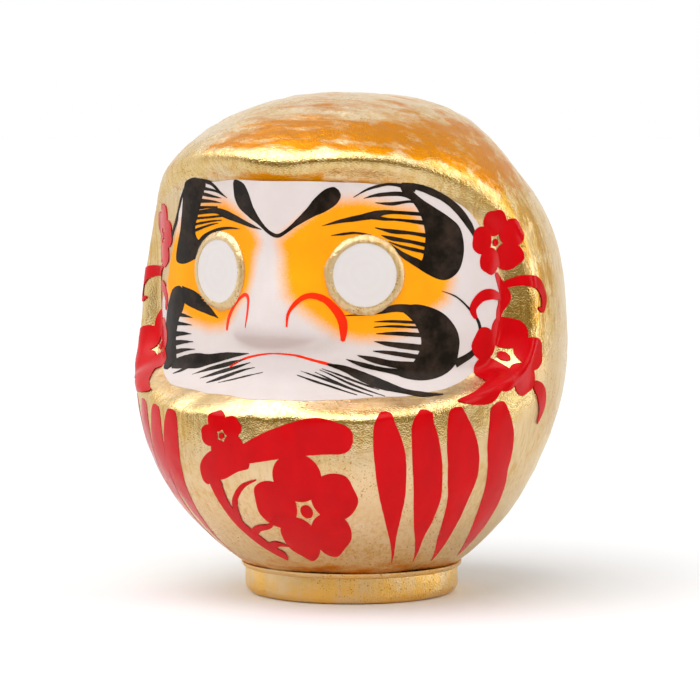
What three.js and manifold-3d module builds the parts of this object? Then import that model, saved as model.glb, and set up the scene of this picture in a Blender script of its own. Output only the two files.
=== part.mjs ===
// Daruma doll: a hollow papier-mache shell made in two halves, joined over pasted strips,
// standing on a round foot that holds a clay weight, closed below by a paper cover.
// Millimetres, +Z up. The origin is the centre of the foot's underside and the face looks along -Y.
import * as THREE from 'three';
import { mergeVertices } from 'three/addons/utils/BufferGeometryUtils.js';
import Module from 'manifold-3d';

const wasm = await Module();
wasm.setup();

// ---- Driving dimensions ----
const GAP = 0.3; // clearance between pieces that meet

// Body: every level section is a circle, and its centre leans forward of the foot's axis.
const BODY_TOP = 240; // crown above the floor
const BODY_RADIUS = 104; // at the widest level
const WIDEST_LEVEL = 116;
const CROWN_FULLNESS = 2.5; // superellipse exponent above the widest level
const BELLY_FULLNESS = 1.95; // and below it
const NECK_OVERHANG = 0.25; // how far the body stands out over the foot where they meet
const WALL = 2.4;

// Forward lean: one bulge for the belly, one for the brow. The back takes only a share of it.
const BELLY_LEAN = { reach: 6, level: 62, spread: 34 };
const BROW_LEAN = { reach: 13.5, level: 209, spread: 23 };
const BACK_LEAN = { share: 0.25, fullTo: 105, leastFrom: 170 }; // degrees round from the front

// Face: a band pressed into the front, with rounded corners.
const FACE_BOTTOM = 99.5;
const FACE_TOP = 201.5;
const FACE_HALF_ANGLE = 71.3; // degrees round from the front to each end of the band
const FACE_RADIUS = 80.5; // depth of the band about the axis, beside the nose
const FACE_END_RISE = 10.5; // how much further out the band's ends lie
const FACE_TOP_CORNERS = 2.9; // superellipse exponents of the upper and lower corners
const FACE_BOTTOM_CORNERS = 3.5;
const LIP_WIDTH = 10; // width of the roll round the band: below it,
const SIDE_ROLL_WIDTH = 15; // beside it,
const BROW_ROLL_WIDTH = 16; // and above it

// Features of the face.
const RIDGE = { rise: 8, halfAngle: 15 }; // the middle of the face stands forward
const NOSE = { rise: 9.5, rootWidth: 6, tipWidth: 14, root: 170, tip: 134, underside: 122, nostril: 131 };
const MOUTH = { rise: 2, level: 116, halfHeight: 8, halfAngle: 20 };
const EYE = { angle: 26.2, level: 158.3, flatRadius: 15.5, footRadius: 19, rise: 2 };

// Foot, cover and weight.
const FOOT_HEIGHT = 15;
const FOOT_RADIUS = 51.25;
const FOOT_WALL = 2.8;
const FOOT_EDGE_RADIUS = 4.5; // rounding of the lower edge
const FOOT_FLANGE_WIDTH = 7; // the wall turns in below, as far as this inside the rounding
const COVER_THICKNESS = 1.8;
const COLLAR_WIDTH = 1.6;
const COLLAR_HEIGHT = 2.4;
const WEIGHT_CLEARANCE = 5.45; // between the clay and the foot's wall
const WEIGHT_CHAMFER = 2;
const WEIGHT_RIM_HEIGHT = 13;
const WEIGHT_DOME = 14; // rise of the clay's top above its rim

// Pasted strips behind the joint between the halves.
const STRIP_WIDTH = 22;
const STRIP_THICKNESS = 1.2;
const STRIP_BOTTOM = 30; // level where the side strips start
const STRIP_SPLIT = 165; // level where the crown strip takes over

// Facets.
const ROUND_STEPS = 60;
const FOOT_STEPS = 36;
const PLAIN_STEP = 7.5; // height of a facet on the plain stretches
const LIP_STEP = 2.8; // and on the roll below the face
const BROW_STEP = 4.2; // and on the roll above it
const CROWN_FINENESS = 0.4; // facets near the crown, as a share of the height left
const FRONT_CROWDING = 0.3; // how much closer the facets are at the face than behind

// ---- Helpers ----
const radians = THREE.MathUtils.degToRad;
const smooth = (low, high, x) => THREE.MathUtils.smoothstep(x, low, high);
const bell = (x, width) => Math.exp(-((x / width) ** 2));

function toSolid(geometry) {
  const bare = geometry.clone();
  bare.deleteAttribute('normal');
  bare.deleteAttribute('uv');
  const merged = mergeVertices(bare, 1e-4);
  const index = merged.index.array;
  const triangles = [];
  for (let i = 0; i < index.length; i += 3) {
    const [a, b, c] = [index[i], index[i + 1], index[i + 2]];
    if (a !== b && b !== c && c !== a) triangles.push(a, b, c);
  }
  return new wasm.Manifold(new wasm.Mesh({
    numProp: 3,
    vertProperties: new Float32Array(merged.attributes.position.array),
    triVerts: new Uint32Array(triangles),
  }));
}

function toGeometry(solid) {
  const mesh = solid.getMesh();
  const geometry = new THREE.BufferGeometry();
  geometry.setAttribute('position', new THREE.BufferAttribute(mesh.vertProperties, 3));
  geometry.setIndex(new THREE.BufferAttribute(mesh.triVerts, 1));
  geometry.computeVertexNormals();
  return geometry;
}

// A profile of [radius, level] points, turned about the vertical axis.
function turned(profile, steps) {
  const points = profile.map(([radius, level]) => new THREE.Vector2(radius, level));
  return new THREE.LatheGeometry(points, steps).rotateX(Math.PI / 2);
}

function block(xMin, xMax, yMin, yMax, zMin, zMax) {
  const box = new THREE.BoxGeometry(xMax - xMin, yMax - yMin, zMax - zMin);
  box.translate((xMin + xMax) / 2, (yMin + yMax) / 2, (zMin + zMax) / 2);
  return toSolid(box);
}

// ---- Shape of the body ----
const neckLevel = FOOT_HEIGHT + GAP;
const crownHeight = BODY_TOP - WIDEST_LEVEL;
const neckRadius = FOOT_RADIUS + NECK_OVERHANG;
const neckShare = (1 - (neckRadius / BODY_RADIUS) ** BELLY_FULLNESS) ** (1 / BELLY_FULLNESS);
const bellyDepth = (WIDEST_LEVEL - neckLevel) / neckShare;

const leanAt = (level) =>
  BELLY_LEAN.reach * bell(level - BELLY_LEAN.level, BELLY_LEAN.spread) +
  BROW_LEAN.reach * bell(level - BROW_LEAN.level, BROW_LEAN.spread);

// Radius of a level section of the body, before the face is pressed in.
function sectionRadius(level) {
  const above = level > WIDEST_LEVEL;
  const exponent = above ? CROWN_FULLNESS : BELLY_FULLNESS;
  const share = above ? (level - WIDEST_LEVEL) / crownHeight : (WIDEST_LEVEL - level) / bellyDepth;
  return BODY_RADIUS * (1 - share ** exponent) ** (1 / exponent);
}

// The body's outline, from below the neck up to the crown, with facets closer on the rolls.
function bodyProfile() {
  const points = [];
  let level = neckLevel - 2 * WALL;
  while (level < BODY_TOP - CROWN_FINENESS) {
    points.push([sectionRadius(level), level]);
    const onLip = level > FACE_BOTTOM - LIP_WIDTH - LIP_STEP && level < FACE_BOTTOM + LIP_STEP;
    const onBrow = level > FACE_TOP - BROW_STEP && level < FACE_TOP + BROW_ROLL_WIDTH;
    const step = onLip ? LIP_STEP : onBrow ? BROW_STEP : PLAIN_STEP;
    level += Math.min(step, CROWN_FINENESS * (BODY_TOP - level));
  }
  points.push([0, BODY_TOP]);
  return points;
}

// Distance outside the rim of the face band, negative inside it.
function faceDistance(angle, level) {
  const halfWidth = radians(FACE_HALF_ANGLE) * BODY_RADIUS;
  const halfHeight = (FACE_TOP - FACE_BOTTOM) / 2;
  const offset = level - (FACE_TOP + FACE_BOTTOM) / 2;
  const n = offset > 0 ? FACE_TOP_CORNERS : FACE_BOTTOM_CORNERS;
  const u = Math.abs(angle * BODY_RADIUS) / halfWidth + 1e-6;
  const v = Math.abs(offset) / halfHeight + 1e-6;
  const size = (u ** n + v ** n) ** (1 / n);
  const slopeU = (u / size) ** (n - 1) / halfWidth;
  const slopeV = (v / size) ** (n - 1) / halfHeight;
  return (size - 1) / Math.hypot(slopeU, slopeV);
}

// Radius of the face's surface about the axis.
function faceRadius(angle, level) {
  const turn = Math.abs(THREE.MathUtils.radToDeg(angle));
  const noseWidth = THREE.MathUtils.lerp(NOSE.rootWidth, NOSE.tipWidth, smooth(NOSE.root, NOSE.tip, level));
  const noseRise = NOSE.rise * (1 - smooth(NOSE.tip, NOSE.root, level)) * smooth(NOSE.underside, NOSE.nostril, level);
  const eyeDistance = Math.hypot((Math.abs(angle) - radians(EYE.angle)) * FACE_RADIUS, level - EYE.level);
  return FACE_RADIUS +
    RIDGE.rise * bell(turn, RIDGE.halfAngle) +
    FACE_END_RISE * smooth(EYE.angle - 4, FACE_HALF_ANGLE, turn) +
    noseRise * bell(turn, noseWidth) +
    MOUTH.rise * bell(turn, MOUTH.halfAngle) * bell(level - MOUTH.level, MOUTH.halfHeight) +
    EYE.rise * (1 - smooth(EYE.flatRadius, EYE.footRadius, eyeDistance));
}

// Turns the facets' diagonals so that they run along the face's rounded corners.
function alignFacets(geometry) {
  const middle = (FACE_TOP + FACE_BOTTOM) / 2;
  const position = geometry.attributes.position;
  const index = geometry.index.array;
  for (let i = 0; i < index.length; i += 6) {
    const [a, b, d, c] = index.slice(i, i + 4);
    const onRight = position.getX(a) + position.getX(b) > 0;
    const isLow = (position.getZ(a) + position.getZ(d)) / 2 < middle;
    if (onRight === isLow) index.set([a, b, c, a, c, d], i);
  }
}

// A solid of the body's outer form, taken in everywhere by an inset.
function bodySolid(inset) {
  const profile = bodyProfile();
  const geometry = turned([[0, profile[0][1]], ...profile], ROUND_STEPS);
  alignFacets(geometry);
  const position = geometry.attributes.position;
  const p = new THREE.Vector3();
  for (let i = 0; i < position.count; i += 1) {
    p.fromBufferAttribute(position, i);
    const plain = Math.atan2(p.x, -p.y);
    const around = plain - FRONT_CROWDING * Math.sin(plain);
    const ring = Math.hypot(p.x, p.y);
    const turn = Math.abs(THREE.MathUtils.radToDeg(around));
    const leanShare = 1 - (1 - BACK_LEAN.share) * smooth(BACK_LEAN.fullTo, BACK_LEAN.leastFrom, turn);
    const x = ring * Math.sin(around);
    const y = -ring * Math.cos(around) - leanShare * leanAt(p.z);
    const angle = Math.atan2(x, -y);
    const radius = Math.hypot(x, y);
    const besideFace = THREE.MathUtils.lerp(LIP_WIDTH, SIDE_ROLL_WIDTH, smooth(FACE_BOTTOM, NOSE.tip, p.z));
    const roll = THREE.MathUtils.lerp(besideFace, BROW_ROLL_WIDTH, smooth(EYE.level, FACE_TOP, p.z));
    const pressed = 1 - smooth(0, roll, faceDistance(angle, p.z));
    const face = Math.min(faceRadius(angle, p.z), radius);
    const moved = ring < 1e-6 ? radius : THREE.MathUtils.lerp(radius, face, pressed);
    position.setXYZ(i, moved * Math.sin(angle), -moved * Math.cos(angle), p.z);
  }
  if (inset > 0) insetAlongNormals(geometry, inset, profile[0][1]);
  return toSolid(geometry);
}

// Moves a closed surface inwards, leaving its flat underside at its own level.
function insetAlongNormals(geometry, inset, undersideLevel) {
  geometry.deleteAttribute('normal');
  geometry.deleteAttribute('uv');
  const shared = mergeVertices(geometry, 1e-4);
  shared.computeVertexNormals();
  const from = shared.attributes.position;
  const normal = shared.attributes.normal;
  for (let i = 0; i < from.count; i += 1) {
    const onUnderside = from.getZ(i) < undersideLevel + 1e-3;
    const drop = onUnderside ? 0 : inset * normal.getZ(i);
    from.setXYZ(
      i,
      from.getX(i) - inset * normal.getX(i),
      from.getY(i) - inset * normal.getY(i),
      from.getZ(i) - drop,
    );
  }
  geometry.copy(shared);
}

// ---- Pieces ----
const big = 4 * BODY_RADIUS + BODY_TOP;
const aboveNeck = block(-big, big, -big, big, neckLevel, big);
const hollowForm = bodySolid(WALL);

function shellHalf(front) {
  const side = front ? block(-big, big, -big, -GAP / 2, -big, big) : block(-big, big, GAP / 2, big, -big, big);
  const wall = bodySolid(0).subtract(hollowForm).intersect(aboveNeck);
  return toGeometry(wall.intersect(side));
}

const stripLayer = bodySolid(WALL + GAP).subtract(bodySolid(WALL + GAP + STRIP_THICKNESS));

function seamStrip(xMin, xMax, bottom, top) {
  const path = block(xMin, xMax, -STRIP_WIDTH / 2, STRIP_WIDTH / 2, bottom, top);
  return toGeometry(stripLayer.intersect(path));
}

// A quarter round from the underside out to the side, as [radius, level] points.
function quarterRound(centreRadius, centreLevel, radius, steps) {
  const points = [];
  for (let i = 0; i <= steps; i += 1) {
    const t = ((Math.PI / 2) * i) / steps;
    points.push([centreRadius + radius * Math.sin(t), centreLevel - radius * Math.cos(t)]);
  }
  return points;
}

const edgeCentre = FOOT_RADIUS - FOOT_EDGE_RADIUS;
const flangeInner = edgeCentre - FOOT_FLANGE_WIDTH;

function footRing() {
  const outer = quarterRound(edgeCentre, FOOT_EDGE_RADIUS, FOOT_EDGE_RADIUS, 4);
  const innerEdge = Math.max(FOOT_EDGE_RADIUS - FOOT_WALL, 0.5);
  const inner = quarterRound(FOOT_RADIUS - FOOT_WALL - innerEdge, FOOT_WALL + innerEdge, innerEdge, 2);
  const profile = [
    [flangeInner, 0],
    ...outer,
    [FOOT_RADIUS, FOOT_HEIGHT],
    [FOOT_RADIUS - FOOT_WALL, FOOT_HEIGHT],
    ...inner.reverse(),
    [flangeInner, FOOT_WALL],
    [flangeInner, 0],
  ];
  return turned(profile, FOOT_STEPS);
}

// Half-round bead pasted under the body, close round the top of the foot.
function footCollar() {
  const inner = FOOT_RADIUS + GAP;
  const top = FOOT_HEIGHT;
  const bottom = FOOT_HEIGHT - COLLAR_HEIGHT;
  const profile = [[inner, bottom]];
  const steps = 4;
  for (let i = 1; i < steps; i += 1) {
    const t = (Math.PI * i) / (steps * 2);
    profile.push([inner + COLLAR_WIDTH * Math.sin(t), top - COLLAR_HEIGHT * Math.cos(t) ** 1.5]);
  }
  profile.push([inner + COLLAR_WIDTH, top], [inner, top], [inner, bottom]);
  return turned(profile, FOOT_STEPS);
}

function baseCover() {
  const radius = flangeInner - GAP;
  return turned([[0, 0], [radius, 0], [radius, COVER_THICKNESS], [0, COVER_THICKNESS]], FOOT_STEPS);
}

function clayWeight() {
  const seat = Math.max(COVER_THICKNESS, FOOT_WALL) + GAP;
  const radius = FOOT_RADIUS - FOOT_WALL - WEIGHT_CLEARANCE;
  const profile = [[0, seat], [radius - WEIGHT_CHAMFER, seat], [radius, seat + WEIGHT_CHAMFER]];
  const rim = seat + WEIGHT_RIM_HEIGHT;
  const steps = 5;
  for (let i = 0; i < steps; i += 1) {
    const t = ((Math.PI / 2) * i) / steps;
    profile.push([radius * Math.cos(t), rim + WEIGHT_DOME * Math.sin(t)]);
  }
  profile.push([0, rim + WEIGHT_DOME]);
  return turned(profile, FOOT_STEPS);
}

// ---- Assembly ----
const doll = new THREE.Group();

function add(name, geometry, colour, roughness, metalness) {
  const material = new THREE.MeshStandardMaterial({ color: colour, roughness, metalness });
  material.name = name;
  const mesh = new THREE.Mesh(geometry, material);
  mesh.name = name;
  doll.add(mesh);
}

const GOLD = 0xcda35c;
const PAPER = 0xcfc4ac;
const CLAY = 0x8a6a4c;

add('shell_front', shellHalf(true), GOLD, 0.35, 0.9);
add('shell_back', shellHalf(false), GOLD, 0.35, 0.9);
add('seam_strip_left', seamStrip(-big, 0, STRIP_BOTTOM, STRIP_SPLIT), PAPER, 0.85, 0);
add('seam_strip_right', seamStrip(0, big, STRIP_BOTTOM, STRIP_SPLIT), PAPER, 0.85, 0);
add('seam_strip_crown', seamStrip(-big, big, STRIP_SPLIT + GAP, big), PAPER, 0.85, 0);
add('foot_ring', footRing(), GOLD, 0.4, 0.85);
add('foot_collar', footCollar(), GOLD, 0.4, 0.85);
add('clay_weight', clayWeight(), CLAY, 0.9, 0);
add('base_cover', baseCover(), PAPER, 0.85, 0);

export default doll;
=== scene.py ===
import math

import bmesh
import bpy
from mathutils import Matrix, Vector, noise


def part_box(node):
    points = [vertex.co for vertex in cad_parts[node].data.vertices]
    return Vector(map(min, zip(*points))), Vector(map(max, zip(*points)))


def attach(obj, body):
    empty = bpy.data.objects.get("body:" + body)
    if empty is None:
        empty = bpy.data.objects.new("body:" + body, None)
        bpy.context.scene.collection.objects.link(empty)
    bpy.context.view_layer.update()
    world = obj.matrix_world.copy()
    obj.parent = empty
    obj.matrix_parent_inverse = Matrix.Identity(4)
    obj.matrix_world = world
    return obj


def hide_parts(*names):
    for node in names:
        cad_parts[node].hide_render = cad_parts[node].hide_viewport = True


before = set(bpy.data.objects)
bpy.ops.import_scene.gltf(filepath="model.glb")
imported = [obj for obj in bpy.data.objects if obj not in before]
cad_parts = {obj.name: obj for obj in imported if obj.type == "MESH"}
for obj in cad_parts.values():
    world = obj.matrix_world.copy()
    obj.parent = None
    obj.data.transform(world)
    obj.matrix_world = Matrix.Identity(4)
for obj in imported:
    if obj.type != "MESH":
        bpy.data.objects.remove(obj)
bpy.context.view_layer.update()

# Lengths below are in millimetres, angles in degrees round from the front, levels in millimetres
# above the floor. Meshes are made in metres.
MM = 0.001
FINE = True

# ---- Sizes taken from the frame ----
shell_low, shell_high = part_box("shell_front")
foot_low, foot_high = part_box("foot_ring")
collar_low, collar_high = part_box("foot_collar")
BODY_TOP = shell_high.z / MM
BODY_RADIUS = (shell_high.x - shell_low.x) / 2 / MM
NECK_LEVEL = shell_low.z / MM
FOOT_HEIGHT = foot_high.z / MM
FOOT_RADIUS = foot_high.x / MM
COLLAR_RADIUS = collar_high.x / MM
COLLAR_BOTTOM = collar_low.z / MM
COLLAR_TOP = collar_high.z / MM

# ---- Shape of the body: the frame's own, with a softer lip under the face ----
WIDEST_LEVEL = 116
CROWN_FULLNESS = 2.5
BELLY_FULLNESS = 1.95
NECK_RADIUS = FOOT_RADIUS + 0.25
WALL = 2.4
FOOT_WALL = 2.8
FACE_BOTTOM = 99.5
FACE_TOP = 201.5
FACE_HALF_ANGLE = 71.3
FACE_RADIUS = 80.5
TOP_CORNERS = 2.9
BOTTOM_CORNERS = 3.5
EYE_ANGLE = 26.2
EYE_LEVEL = 158.3
EYE_WHITE_RADIUS = 14.9
EYE_RING_RADIUS = 18.6
EYE_UNROLL = 84.5
EYE_BOSS_RISE = 2
EYE_BOSS_TOP = 15.5
EYE_BOSS_FOOT = 19
MIDDLE_SWELL = 8
MIDDLE_SPREAD = 15
SIDE_SWELL = 10.5
NOSE_RISE = 9.5
NOSTRIL_LEVEL = 134
BRIDGE_LEVEL = 170
MOUTH_RISE = 2
MOUTH_LEVEL = 116
CHIN_SWELL = 9
CHIN_SWELL_TOP = 115
LIP_RISE = 5
ROLL_BELOW = 12
ROLL_BESIDE = 15
ROLL_ABOVE = 16
# The belly and the brow stand forward: (how far, at what level, over what height).
BELLY_LEAN = (6, 62, 34)
BROW_LEAN = (13.5, 209, 23)

CROWN_HEIGHT = BODY_TOP - WIDEST_LEVEL
NECK_SHARE = (1 - (NECK_RADIUS / BODY_RADIUS) ** BELLY_FULLNESS) ** (1 / BELLY_FULLNESS)
BELLY_DEPTH = (WIDEST_LEVEL - NECK_LEVEL) / NECK_SHARE

# Paint is laid out flat: across from the middle, and up from the floor. An angle in radians times the
# unroll is the distance across.
FACE_UNROLL = 85
BODY_UNROLL = 100


def spacing(size):
    return size if FINE else 2 * size


def smooth(low, high, x):
    """A soft step from 0 at low to 1 at high. It falls instead of rising where low is above high."""
    t = min(max((x - low) / (high - low), 0), 1)
    return t * t * (3 - 2 * t)


def bell(x, width):
    """1 in the middle, fading to 0 on both sides."""
    return math.exp(-((x / width) ** 2))


def mix(a, b, t):
    return a + (b - a) * t


def section_radius(level):
    """Radius of a level section before the face is pressed in."""
    if level > WIDEST_LEVEL:
        share = min((level - WIDEST_LEVEL) / CROWN_HEIGHT, 1)
        return BODY_RADIUS * (1 - share**CROWN_FULLNESS) ** (1 / CROWN_FULLNESS)
    share = min((WIDEST_LEVEL - level) / BELLY_DEPTH, 1)
    return BODY_RADIUS * (1 - share**BELLY_FULLNESS) ** (1 / BELLY_FULLNESS)


def lean(level, around):
    """How far a section stands forward: all of it at the front, a quarter at the back."""
    full = sum(reach * bell(level - middle, height) for reach, middle, height in (BELLY_LEAN, BROW_LEAN))
    return full * (1 - 0.75 * smooth(105, 170, abs(math.degrees(around))))


def face_distance(angle, level):
    """Distance outside the rim of the face, negative inside it."""
    half_width = math.radians(FACE_HALF_ANGLE) * BODY_RADIUS
    half_height = (FACE_TOP - FACE_BOTTOM) / 2
    offset = level - (FACE_TOP + FACE_BOTTOM) / 2
    n = TOP_CORNERS if offset > 0 else BOTTOM_CORNERS
    u = abs(angle * BODY_RADIUS) / half_width + 1e-6
    v = abs(offset) / half_height + 1e-6
    size = (u**n + v**n) ** (1 / n)
    slope_u = (u / size) ** (n - 1) / half_width
    slope_v = (v / size) ** (n - 1) / half_height
    return (size - 1) / math.hypot(slope_u, slope_v)


def face_radius(angle, level):
    """Radius of the face's surface: nose, mouth, eye bosses and the ends that stand further out."""
    turn = abs(math.degrees(angle))
    nose = 1 - smooth(NOSTRIL_LEVEL, BRIDGE_LEVEL, level)
    nose_rise = NOSE_RISE * nose * smooth(122, 131, level)
    eye = math.hypot((abs(angle) - math.radians(EYE_ANGLE)) * FACE_RADIUS, level - EYE_LEVEL)
    radius = FACE_RADIUS + MIDDLE_SWELL * bell(turn, MIDDLE_SPREAD)
    radius += SIDE_SWELL * smooth(EYE_ANGLE - 4, FACE_HALF_ANGLE, turn)
    radius += nose_rise * bell(turn, 6 + 8 * nose)
    radius += MOUTH_RISE * bell(turn, 20) * bell(level - MOUTH_LEVEL, 8)
    radius += CHIN_SWELL * (1 - smooth(FACE_BOTTOM, CHIN_SWELL_TOP, level))
    return radius + EYE_BOSS_RISE * (1 - smooth(EYE_BOSS_TOP, EYE_BOSS_FOOT, eye))


def press_face(angle, radius, level):
    """The radius that the body's surface has once the face is pressed in."""
    roll = mix(ROLL_BELOW, ROLL_BESIDE, smooth(FACE_BOTTOM, NOSTRIL_LEVEL, level))
    roll = mix(roll, ROLL_ABOVE, smooth(EYE_LEVEL, FACE_TOP, level))
    inside = LIP_RISE * (1 - smooth(FACE_BOTTOM, FACE_BOTTOM + 20, level))
    pressed = 1 - smooth(-inside, roll - inside, face_distance(angle, level))
    if pressed == 0:
        return radius
    return mix(radius, min(face_radius(angle, level), radius), pressed)


def pulp(x, y, z):
    """Waviness of the hand-pasted paper: slight all over, stronger by the face, creased on the crown."""
    place = Vector((x, y, z))
    slow = noise.noise(place / 26) * 0.35
    fine = noise.noise(place / 9) * 0.22 + noise.noise(place / 4.4) * 0.07
    crown = smooth(204, 232, z)
    creased = Vector((x / 19, y / 7.5, z / 5))
    creases = (abs(noise.noise(creased)) - 0.25) * 1.3 + noise.noise(creased * 2.1) * 0.3
    from_rim = face_distance(math.atan2(x, -y), z)
    on_face = 1 - smooth(-4, 4, from_rim)
    lip = 0.25 + 0.65 * smooth(125, 100, z)
    roll = noise.noise(place / 12 + Vector((5, 2, 8))) * bell(from_rim - 3, 10) * lip
    return slow + fine * (1 - 0.5 * on_face) + creases * crown * 0.6 + roll


def bare_point(angle, level):
    """A point of the smooth body, in millimetres."""
    ring = section_radius(level)
    forward = lean(level, angle)
    cosine = math.cos(angle)
    sine = math.sin(angle)
    radius = forward * cosine + math.sqrt(max(ring * ring - (forward * sine) ** 2, 0))
    radius = press_face(angle, radius, level)
    return Vector((radius * sine, -radius * cosine, level))


def skin(angle, level, lift):
    """A point on the finished skin in metres, lifted off it by so many millimetres."""
    point = bare_point(angle, level)
    step = 0.4
    along = bare_point(angle + step / BODY_RADIUS, level) - point
    upward = bare_point(angle, level + step) - point
    normal = along.cross(upward).normalized()
    return (point + normal * (pulp(*point) + lift)) * MM


# ---- Helpers for meshes ----
def finished(name, bm, material, smooth_angle=50):
    """Turns a bmesh into a piece that rides on the body."""
    bmesh.ops.recalc_face_normals(bm, faces=bm.faces)
    for face in bm.faces:
        face.smooth = True
    for edge in bm.edges:
        if len(edge.link_faces) == 2 and edge.calc_face_angle(0) > math.radians(smooth_angle):
            edge.smooth = False
    mesh = bpy.data.meshes.new(name)
    bm.to_mesh(mesh)
    bm.free()
    piece = bpy.data.objects.new(name, mesh)
    bpy.context.collection.objects.link(piece)
    mesh.materials.append(material)
    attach(piece, "root")
    return piece


def profile_edges(bm, points, closed=False):
    verts = [bm.verts.new((r * MM, 0, z * MM)) for r, z in points]
    pairs = list(zip(verts, verts[1:]))
    if closed:
        pairs.append((verts[-1], verts[0]))
    return verts + [bm.edges.new(pair) for pair in pairs]


def turned(points, steps, closed=False):
    """A profile of (radius, level) points spun about the vertical axis."""
    bm = bmesh.new()
    geometry = profile_edges(bm, points, closed)
    bmesh.ops.spin(
        bm, geom=geometry, cent=(0, 0, 0), axis=(0, 0, 1), dvec=(0, 0, 0),
        angle=math.tau, steps=steps, use_merge=True, use_duplicate=False,
    )
    bmesh.ops.remove_doubles(bm, verts=bm.verts, dist=1e-6)
    return bm


# ---- Shader helpers ----
def link(material, source, target):
    material.node_tree.links.new(source, target)


def new_material(name, colour, roughness, metallic=0.0):
    material = bpy.data.materials.new(name)
    material.use_nodes = True
    shader = material.node_tree.nodes["Principled BSDF"]
    shader.inputs["Base Color"].default_value = (*colour, 1)
    shader.inputs["Roughness"].default_value = roughness
    shader.inputs["Metallic"].default_value = metallic
    return material, shader


def make_group(name, inputs, outputs):
    """An empty node group with named number inputs and named outputs."""
    group = bpy.data.node_groups.new(name, "ShaderNodeTree")
    for label, value in inputs:
        socket = group.interface.new_socket(name=label, in_out="INPUT", socket_type="NodeSocketFloat")
        socket.default_value = value
    for label, kind in outputs:
        group.interface.new_socket(name=label, in_out="OUTPUT", socket_type=kind)
    start = group.nodes.new("NodeGroupInput")
    end = group.nodes.new("NodeGroupOutput")
    return group, start, end


def pattern_noise(tree, scale, detail, stretch=(1, 1, 1), rough=0.5):
    """Noise in the object's own coordinates, stretched along an axis where asked."""
    place = tree.nodes.new("ShaderNodeTexCoord")
    mapping = tree.nodes.new("ShaderNodeMapping")
    mapping.inputs["Scale"].default_value = stretch
    texture = tree.nodes.new("ShaderNodeTexNoise")
    texture.inputs["Scale"].default_value = scale
    texture.inputs["Detail"].default_value = detail
    texture.inputs["Roughness"].default_value = rough
    tree.links.new(place.outputs["Object"], mapping.inputs["Vector"])
    tree.links.new(mapping.outputs["Vector"], texture.inputs["Vector"])
    return texture.outputs["Fac"]


def mask(tree, source, low, high):
    """Stretches a value so that low becomes 0 and high becomes 1."""
    node = tree.nodes.new("ShaderNodeMapRange")
    node.inputs["From Min"].default_value = low
    node.inputs["From Max"].default_value = high
    tree.links.new(source, node.inputs["Value"])
    return node.outputs["Result"]


def multiply(tree, a, b):
    node = tree.nodes.new("ShaderNodeMath")
    node.operation = "MULTIPLY"
    for socket, value in zip(node.inputs, (a, b)):
        if isinstance(value, (int, float)):
            socket.default_value = value
        else:
            tree.links.new(value, socket)
    return node.outputs[0]


def add(tree, a, b):
    output = multiply(tree, a, b)
    output.node.operation = "ADD"
    return output


def blend_colour(tree, factor, a, b):
    node = tree.nodes.new("ShaderNodeMix")
    node.data_type = "RGBA"
    factor_in, first, second = node.inputs[0], node.inputs[6], node.inputs[7]
    for socket, value in ((factor_in, factor), (first, a), (second, b)):
        if isinstance(value, tuple):
            socket.default_value = (*value, 1)
        elif isinstance(value, (int, float)):
            socket.default_value = value
        else:
            tree.links.new(value, socket)
    return node.outputs[2]


def clamped(tree, value):
    return mask(tree, value, 0, 1)


def painted_value(tree, name):
    """A value that the piece's mesh carries at each of its points."""
    node = tree.nodes.new("ShaderNodeAttribute")
    node.attribute_name = name
    return node.outputs["Fac"]


def bump(tree, height, strength, distance):
    node = tree.nodes.new("ShaderNodeBump")
    node.inputs["Strength"].default_value = strength
    node.inputs["Distance"].default_value = distance
    tree.links.new(height, node.inputs["Height"])
    return node.outputs["Normal"]


def object_place(tree):
    """The three coordinates of a place on the doll, in metres."""
    place = tree.nodes.new("ShaderNodeTexCoord")
    split = tree.nodes.new("ShaderNodeSeparateXYZ")
    tree.links.new(place.outputs["Object"], split.inputs["Vector"])
    return split.outputs


# ---- Materials ----
def pulp_group():
    """Fine relief of pasted paper under paint: a fibrous grain and small lumps."""
    group, start, end = make_group(
        "pulp_relief", [("Lumps", 1.0), ("Grain", 1.0)], [("Height", "NodeSocketFloat")]
    )
    lumps = pattern_noise(group, 95, 3)
    grain = pattern_noise(group, 420, 4)
    lumps = multiply(group, lumps, start.outputs["Lumps"])
    grain = multiply(group, grain, start.outputs["Grain"])
    total = add(group, lumps, multiply(group, grain, 0.25))
    group.links.new(total, end.inputs["Height"])
    return group


PULP = pulp_group()


def pulp_relief(material, lumps, grain):
    """Places the paper's relief in a material and gives its height."""
    node = material.node_tree.nodes.new("ShaderNodeGroup")
    node.node_tree = PULP
    node.inputs["Lumps"].default_value = lumps
    node.inputs["Grain"].default_value = grain
    return node.outputs["Height"]


def paper_bump(material, shader, lumps, grain, strength, depth):
    """Lets the pasted paper's relief show through the paint."""
    height = pulp_relief(material, lumps, grain)
    link(material, bump(material.node_tree, height, strength, depth), shader.inputs["Normal"])


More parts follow.
